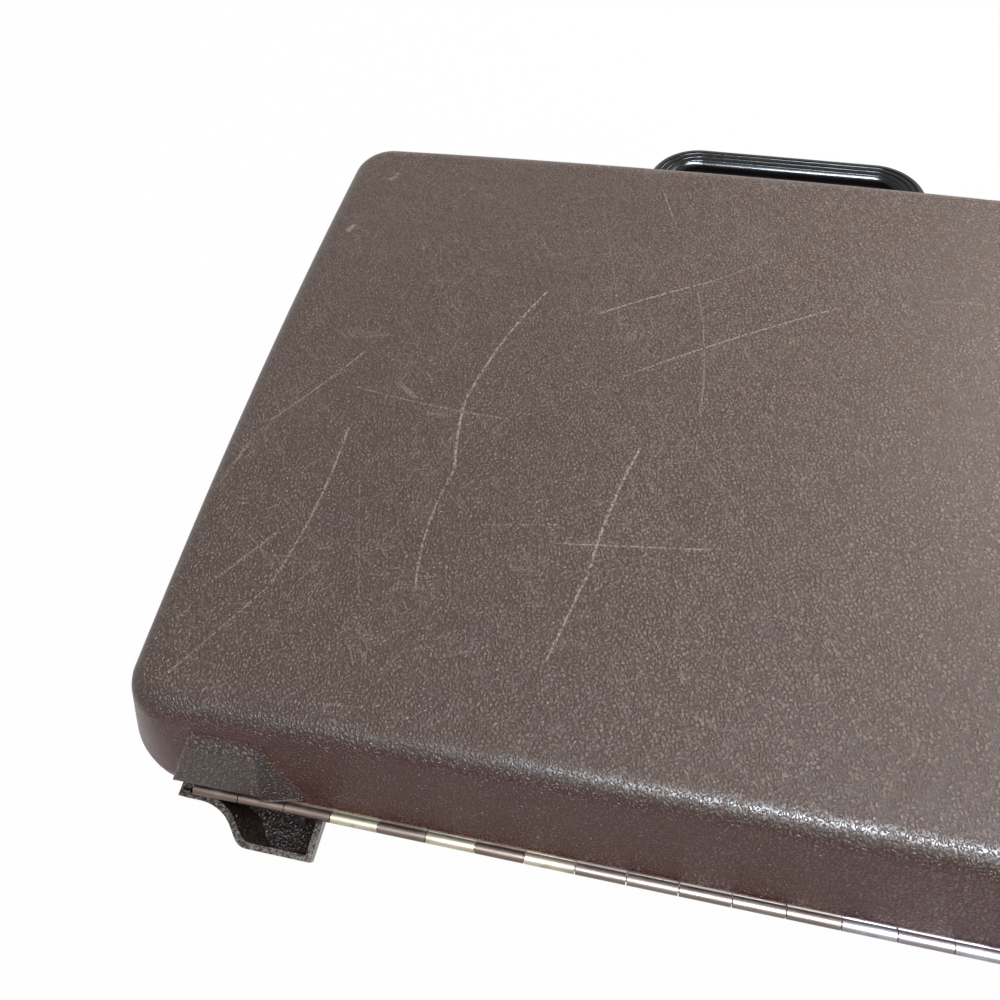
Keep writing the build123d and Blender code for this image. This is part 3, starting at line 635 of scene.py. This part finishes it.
liningSettings = {
    "corner": 26.8,          # radius of the outline's corners at the seam
    "bow": 3.2,              # how far the three free sides bulge
    "fold": 6.5,             # radius where walls turn into roof or floor
    "cloth": 0.8,            # thickness
    "sink": 0.6,             # from the solid lining's outer face to the middle of the cloth
    "crown": 9500.0,         # radius of the lid's dome
    "tighten": 0.6,          # how much faster the lid's corners tighten than its walls move in
    "lidLean": 1 / 3,
    "baseLean": 14 / 60,
    "pucker": 0.35, "puckerWidth": 22,
    "turns": 9, "steps": 16,             # parts of a corner and of a side
    "wallRows": 6, "foldRows": 9, "floorRows": 13,
    "rough": 0.85,
    "dark": (0.17, 0.115, 0.075),
    "light": (0.31, 0.22, 0.15),
}


def weave(name):
    # Woven cloth with a short nap.
    dark, light, thickness = (liningSettings[key] for key in ("dark", "light", "cloth"))
    finish = Finish(name)
    spot = finish.spot()
    ridges = []
    for angle in (0, 90):
        turned = finish.turned(spot, (0, 0, angle), (1, 1, 1))
        ridges.append(finish.node("ShaderNodeTexWave", {"wave_profile": "SIN"},
                                  {"Vector": turned, "Scale": 0.31 / thickness, "Distortion": 0.8,
                                   "Detail": 1.0}, "Fac"))
    threads = ridges[0] * ridges[1]
    nap = finish.noise(spot, 0.9, 3, 0.7)
    cloud = finish.noise(spot, 35, 3)
    base = finish.colour((threads * 0.5 + nap * 0.4).below(1.0), dark, light)
    base = finish.colour(cloud.step(0.55, 0.8) * 0.4, base, [part * 0.75 for part in dark])
    return finish.surface(Base_Color=base, Roughness=liningSettings["rough"] + nap * 0.1,
                          Normal=finish.bump(threads + nap, 0.10), Sheen_Weight=0.3)


def caseOutline(halfX, hingeY, frontY, radius):
    # Points round the case: straight at the hinge, bowed on the other three sides.
    bow, turns, steps = (liningSettings[key] for key in ("bow", "turns", "steps"))
    halfX -= bow
    frontY -= bow
    middleY, halfY = (hingeY + frontY) / 2, (frontY - hingeY) / 2
    points = []
    for i, (sx, sy) in enumerate(((1, 1), (-1, 1), (-1, -1), (1, -1))):
        for k in range(turns + 1):
            angle = math.pi / 2 * (i + k / turns)
            points.append(Vector((sx * (halfX - radius) + radius * math.cos(angle),
                                  middleY + sy * (halfY - radius) + radius * math.sin(angle))))
        angle = math.pi / 2 * i
        ahead = Vector((-math.cos(angle), -math.sin(angle)))
        run = 2 * ((halfY if i % 2 else halfX) - radius)
        corner = points[-1]
        points += [corner + ahead * run * k / steps for k in range(1, steps)]
    bowed = []
    for point in points:
        u, v = point.x / halfX, (point.y - middleY) / halfY
        bowed.append((point.x + math.copysign(bow * (1 - v * v) * abs(u) ** 6, u),
                      point.y + bow * (1 - u * u) * max(v, 0) ** 6))
    return bowed


def lining(name, node, lean, body):
    # A tub of cloth: leaning walls, a rounded fold, and a roof or floor with faint puckers.
    low, high = boxOf(node)
    isLid = body == "lid"
    fold, sink = liningSettings["fold"], liningSettings["sink"]
    rim, end, away = (low.z, high.z - sink, 1) if isLid else (high.z, low.z + sink, -1)
    halfX = (high.x - low.x) / 2 - sink
    start = math.atan(lean)
    wall = abs(end - rim) - fold * (1 - math.sin(start))

    def level(x, y):
        return end - (x * x + y * y) / (2 * liningSettings["crown"]) if isLid else end

    def ring(inset):
        rate = 1 + liningSettings["tighten"] * isLid
        return caseOutline(halfX - inset, low.y + sink + inset, high.y - sink - inset,
                           max(2.0, liningSettings["corner"] - rate * inset))

    wallRows, foldRows, floorRows = (liningSettings[key] for key in ("wallRows", "foldRows", "floorRows"))
    points = []
    for k in range(wallRows):
        for x, y in ring(lean * wall * k / wallRows):
            top = level(x, y) - away * fold * (1 - math.sin(start))
            points.append((x, y, rim + (top - rim) * k / wallRows))
    for k in range(foldRows):
        angle = start + (math.pi / 2 - start) * k / (foldRows - 1)
        for x, y in ring(lean * wall + fold * (math.cos(start) - math.cos(angle))):
            points.append((x, y, level(x, y) - away * fold * (1 - math.sin(angle))))
    around = len(points) // (wallRows + foldRows)
    width = liningSettings["puckerWidth"]
    flat = points[-around:]
    for k in range(1, floorRows + 1):
        share = 1 - k / (floorRows + 1)
        for x, y, _ in flat:
            x, y = x * share, y * share
            lift = abs(noise.noise(Vector((x / width, y / width, 3.1)))) * min(1, (1 - share) * 6)
            points.append((x, y, level(x, y) - away * liningSettings["pucker"] * lift))
    count = len(points) // around
    faces = rows(count, around, True) + [tuple(range((count - 1) * around, count * around))]
    cloth = makePiece(name, points, faces, liningCloth, body, [node])
    makeSheet(cloth, liningSettings["cloth"], 2 * (halfX + wall))


liningCloth = weave("liningCloth")
lining("lidLiningCloth", "lid_lining", liningSettings["lidLean"], "lid")
lining("baseLiningCloth", "base_lining", liningSettings["baseLean"], "base")


# Cloth covers over the backs of the locks

coverSettings = {
    "half": 43.2,            # half its width
    "back": 144.9,           # place of its inner face
    "wall": 155.2,           # and of its edge at the wall
    "bottom": 26.6,
    "above": 0.5,            # past the lining's edge
    "corner": 2.0,
    "turns": 4,              # parts of a corner
}


def lockCover(side, middle):
    settings = coverSettings
    half, corner, turns = settings["half"], settings["corner"], settings["turns"]
    top = boxOf("base_lining")[1].z + settings["above"]
    centreZ = (settings["bottom"] + top) / 2
    halfZ = (top - settings["bottom"]) / 2
    points = []
    depths = [(settings["wall"], 0)]
    for k in range(turns + 1):
        angle = math.pi / 2 * k / turns
        depths.append((settings["back"] + corner * (1 - math.sin(angle)),
                       corner * (1 - math.cos(angle))))
    for y, inset in depths:
        for i, (sx, sz) in enumerate(((1, 1), (-1, 1), (-1, -1), (1, -1))):
            for k in range(turns + 1):
                angle = math.pi / 2 * (i + k / turns)
                points.append((middle + sx * (half - inset - corner) + corner * math.cos(angle), y,
                               centreZ + sz * (halfZ - inset - corner) + corner * math.sin(angle)))
    around = len(points) // len(depths)
    faces = rows(len(depths), around, True)
    faces.append(tuple(range(len(points) - around, len(points))))
    cover = makePiece(f"lockCover_{side}", points, faces, liningCloth, "base")
    makeSheet(cover, liningSettings["cloth"], 2 * half)


for side in sides:
    lockCover(side, pivots[f"hasp_{side}_swing"][0])
print("linings done")


# Leather pockets and pen loops of the lid's organiser

pocketSettings = {
    "leather": 1.3,          # thickness of the faces
    "gusset": 1.0,           # and of the gussets
    "sag": 1.1,
    "waveX": 60, "waveY": 45,            # widths of the sag's waves
    "hem": 7.0, "hemThick": 0.9,
    "margin": 0.3,           # from the face's edge to the hem
    "pleat": 2.2,
    "corner": 6.0,           # radius of the gusset's corners
    "columns": 60, "rows": 36,           # of a face
    "hemSides": 14, "hemSteps": 40,
    "straightSteps": 24, "cornerSteps": 6,
    "dark": (0.050, 0.026, 0.016), "light": (0.088, 0.049, 0.031),
}


def pocketLeather():
    finish = Finish("pocketLeather")
    spot = finish.spot()
    grain = finish.cells(spot, 0.9).step(0.0, 0.25)
    cloud = finish.noise(spot, 22, 3)
    creases = abs(finish.noise(spot, 9, 3, 0.6) - 0.5).step(0.03, 0.0)
    base = finish.colour(cloud, pocketSettings["dark"], pocketSettings["light"])
    base = finish.colour(creases * 0.3, base, [part * 1.6 for part in pocketSettings["light"]])
    normal = finish.bump(grain, 0.05, finish.bump(creases, 0.08))
    return finish.surface(Base_Color=base, Roughness=0.42 + cloud * 0.15, Normal=normal)


leather = pocketLeather()


def slack(low, high, x, y):
    # How far a pocket's face hangs down at this point.
    u = (2 * x - low.x - high.x) / (high.x - low.x)
    v = (2 * y - low.y - high.y) / (high.y - low.y)
    settings = pocketSettings
    wave = 0.5 + 0.5 * noise.noise(Vector((x / settings["waveX"], y / settings["waveY"], 1.7)))
    return settings["sag"] * (1 - u ** 4) * (1 - min(v, 0) ** 4) * wave


def pocketFace(name, replaced, low, high, z):
    # A leather face that hangs slightly.
    across, along = pocketSettings["columns"], pocketSettings["rows"]
    points = []
    for j in range(along + 1):
        for i in range(across + 1):
            x = low.x + (high.x - low.x) * i / across
            y = low.y + (high.y - low.y) * j / along
            points.append((x, y, z - slack(low, high, x, y)))
    piece = makePiece(name, points, rows(along + 1, across + 1, False), leather, "lid",
                      replaced)
    makeSheet(piece, pocketSettings["leather"], high.x - low.x)


def rectangle(low, high, inset, steps):
    # Points round a rectangle that is moved inward.
    x0, x1, y0, y1 = low.x + inset, high.x - inset, low.y + inset, high.y - inset
    corners = [(x0, y0), (x1, y0), (x1, y1), (x0, y1), (x0, y0)]
    points = []
    for (ax, ay), (bx, by) in zip(corners, corners[1:]):
        points += [(ax + (bx - ax) * k / steps, ay + (by - ay) * k / steps) for k in range(steps)]
    return points


def pocketTrim(name, low, high, z):
    # A folded strip round the face, and the stitches along its middle.
    settings = pocketSettings
    hem, thick = settings["hem"], settings["hemThick"]
    inset = hem / 2 + settings["margin"]
    face = z - settings["leather"] / 2
    around, steps = settings["hemSides"], settings["hemSteps"]
    points = []
    for k in range(around):
        angle = 2 * math.pi * k / around
        across = max(-1.0, min(1.0, 1.2 * math.cos(angle))) * hem / 2
        down = thick / 2 * (1 + math.sin(angle))
        for x, y in rectangle(low, high, inset + across, steps):
            points.append((x, y, face - slack(low, high, x, y) - down))
    faces = rows(around, 4 * steps, True, endless=True)
    makePiece(f"{name}Hem", points, faces, leather, "lid")
    ring = [Vector((x, y, face - slack(low, high, x, y) - thick))
            for x, y in rectangle(low, high, inset, steps)]
    stitches(f"{name}Stitches", list(zip(ring, ring[1:] + ring[:1])), "lid")


liningTop = boxOf("lid_lining")[1].z - liningSettings["sink"] - liningSettings["cloth"] / 2


def roofAt(x, y):
    # Height of the lid lining's inner face.
    return liningTop - (x * x + y * y) / (2 * liningSettings["crown"])


def pocketWalls(name, low, high, z, pleats, replaced):
    # The gusset round three sides, folded like bellows where it has pleats.
    settings = pocketSettings
    radius, straight, turns = settings["corner"], settings["straightSteps"], settings["cornerSteps"]
    x0, y0, y1 = low.x + settings["gusset"], low.y + settings["gusset"], high.y
    middle = (low.x + high.x) / 2
    path = [(x0, y1 - (y1 - y0 - radius) * k / straight, -1, 0) for k in range(straight + 1)]
    for k in range(1, turns + 1):
        angle = math.pi / 2 * k / turns
        path.append((x0 + radius * (1 - math.cos(angle)), y0 + radius * (1 - math.sin(angle)),
                     -math.cos(angle), -math.sin(angle)))
    run = middle - path[-1][0]
    path += [(path[-1][0] + run * k / straight, y0, 0, -1) for k in range(1, straight + 1)]
    path += [(2 * middle - x, y, -nx, ny) for x, y, nx, ny in reversed(path[:-1])]
    steps = 4 * pleats
    points = []
    for k in range(steps + 1):
        fold = settings["pleat"] * (1 - abs(k % 4 - 2) / 2)
        for x, y, nx, ny in path:
            rise = (roofAt(x, y) - z) * k / steps
            points.append((x - nx * fold, y - ny * fold, z + rise))
    piece = makePiece(name, points, rows(steps + 1, len(path), False), leather, "lid",
                      replaced)
    length = sum(math.dist(a[:2], b[:2]) for a, b in zip(path, path[1:]))
    makeSheet(piece, settings["gusset"], length)


def filePocket():
    low, high = boxOf("file_pocket")
    z = (low.z + high.z) / 2
    pocketWalls("filePocketBellows", low, high, high.z, 2, ["file_pocket_gusset"])
    pocketFace("filePocketFace", ["file_pocket"], low, high, z)
    pocketTrim("filePocket", low, high, z)


def cardPocket():
    low, high = boxOf("card_pocket")
    z = low.z + pocketSettings["leather"] / 2
    pocketWalls("cardPocketWalls", low, high, low.z + pocketSettings["leather"], 1, [])
    pocketFace("cardPocketFace", ["card_pocket"], low, high, z)
    pocketTrim("cardPocket", low, high, z)


loopSettings = {
    "count": 3,
    "radius": 7.0, "thick": 1.2,
    "tab": 4.5,              # width of the sewn tab on each side of a loop
    "turn": 1.2,             # where a tab turns into its loop
    "inset": 2,              # from the ends to the first stitches
    "arcSteps": 24, "lengthSteps": 10,
}


def penLoops():
    # Leather loops with a tab each side, sewn to the lining.
    settings = loopSettings
    low, high = boxOf("pen_loops")
    radius, thick, tab = settings["radius"], settings["thick"], settings["tab"]
    arcSteps, lengthSteps, inset = settings["arcSteps"], settings["lengthSteps"], settings["inset"]
    outer = radius + thick / 2
    pitch = (high.x - low.x - 2 * outer) / (settings["count"] - 1)
    points, faces, lines = [], [], []
    for i in range(settings["count"]):
        x = low.x + outer + i * pitch
        roof = roofAt(x, (low.y + high.y) / 2) - thick / 2
        centre = low.z + outer
        start = math.asin(min(roof - centre, 0.9 * radius) / radius)
        reach = radius * math.cos(start)
        section = [(-reach - tab, roof), (-reach - settings["turn"], roof)]
        for k in range(arcSteps + 1):
            angle = math.pi - start + (math.pi + 2 * start) * k / arcSteps
            section.append((radius * math.cos(angle), centre + radius * math.sin(angle)))
        section += [(reach + settings["turn"], roof), (reach + tab, roof)]
        first = len(points)
        for k in range(lengthSteps + 1):
            y = low.y + (high.y - low.y) * k / lengthSteps
            points += [(x + dx, y, z) for dx, z in section]
        faces += [tuple(first + corner for corner in face)
                  for face in rows(lengthSteps + 1, len(section), False)]
        z = roof - thick / 2
        lines += [((x + dx, low.y + inset, z), (x + dx, high.y - inset, z))
                  for dx in (-reach - tab * 0.6, reach + tab * 0.6)]
    piece = makePiece("penLoopLeather", points, faces, leather, "lid", ["pen_loops"])
    makeSheet(piece, thick, high.y - low.y)
    stitches("penLoopStitches", lines, "lid")


filePocket()
cardPocket()
penLoops()
print("organiser done")


# Number dials

dialSettings = {
    "radius": 7.5,
    "digit": 4.0,            # height of the font
    "bold": 0.03,
    "slice": 0.4,            # height of the strips that follow the dial's round
    "lift": 0.04,            # thickness of the paint
    "paint": (0.80, 0.79, 0.74), "paintWorn": (0.35, 0.34, 0.31),
    "dark": (0.012, 0.012, 0.013), "light": (0.035, 0.034, 0.033),
}


def dialPlastic():
    finish = Finish("dialPlastic")
    spot = finish.spot()
    wear = finish.noise(spot, 2.5, 3)
    base = finish.colour(wear, dialSettings["dark"], dialSettings["light"])
    return finish.surface(Base_Color=base, Roughness=0.25 + wear * 0.2,
                          Normal=finish.bump(finish.noise(spot, 0.5), 0.01))


def digitPaint():
    finish = Finish("digitPaint")
    wear = finish.noise(finish.spot(), 0.5, 3)
    base = finish.colour(wear.step(0.55, 0.8) * 0.5, dialSettings["paint"], dialSettings["paintWorn"])
    return finish.surface(Base_Color=base, Roughness=0.5, Normal=finish.bump(wear, 0.01))


def glyphMesh(digit):
    # A digit as a flat mesh, sliced across so that it can be bent.
    text = bpy.data.curves.new("digit", "FONT")
    text.body = str(digit)
    text.size = dialSettings["digit"]
    text.align_x = text.align_y = "CENTER"
    text.offset = dialSettings["bold"]
    shape = bpy.data.objects.new("digit", text)
    outline = bpy.data.meshes.new_from_object(shape)
    bpy.data.objects.remove(shape)
    glyph = bmesh.new()
    glyph.from_mesh(outline)
    bmesh.ops.remove_doubles(glyph, verts=glyph.verts, dist=1e-4)
    slices = round(dialSettings["digit"] / dialSettings["slice"])
    for k in range(-slices // 2, slices // 2 + 1):
        bmesh.ops.bisect_plane(glyph, geom=glyph.verts[:] + glyph.edges[:] + glyph.faces[:],
                               plane_co=(0, k * dialSettings["slice"], 0), plane_no=(0, 1, 0))
    glyph.to_mesh(outline)
    glyph.free()
    return outline


def numberRing(name, body, pivot, material):
    # The digits 0 to 9 round a dial, bent to its rim. The 0 faces outward at rest.
    radius = dialSettings["radius"] + dialSettings["lift"]
    points, faces = [], []
    for digit, glyph in enumerate(glyphs):
        first = len(points)
        for vertex in glyph.vertices:
            angle = 2 * math.pi * digit / 10 + vertex.co.y / radius
            points.append((pivot[0] - vertex.co.x, pivot[1] + radius * math.cos(angle),
                           pivot[2] + radius * math.sin(angle)))
        faces += [tuple(first + corner for corner in face.vertices) for face in glyph.polygons]
    makePiece(name, points, faces, material, body)


numbers = (1, 2, 3)
dress(dialPlastic(), *[f"dial_{number}_{side}" for number in numbers for side in sides])
digitMaterial = digitPaint()
glyphs = [glyphMesh(digit) for digit in range(10)]
for number in numbers:
    for side in sides:
        dial = f"dial_{number}_{side}"
        numberRing(f"digits_{number}_{side}", dial, pivots[f"{dial}_turn"], digitMaterial)
print("dials done")
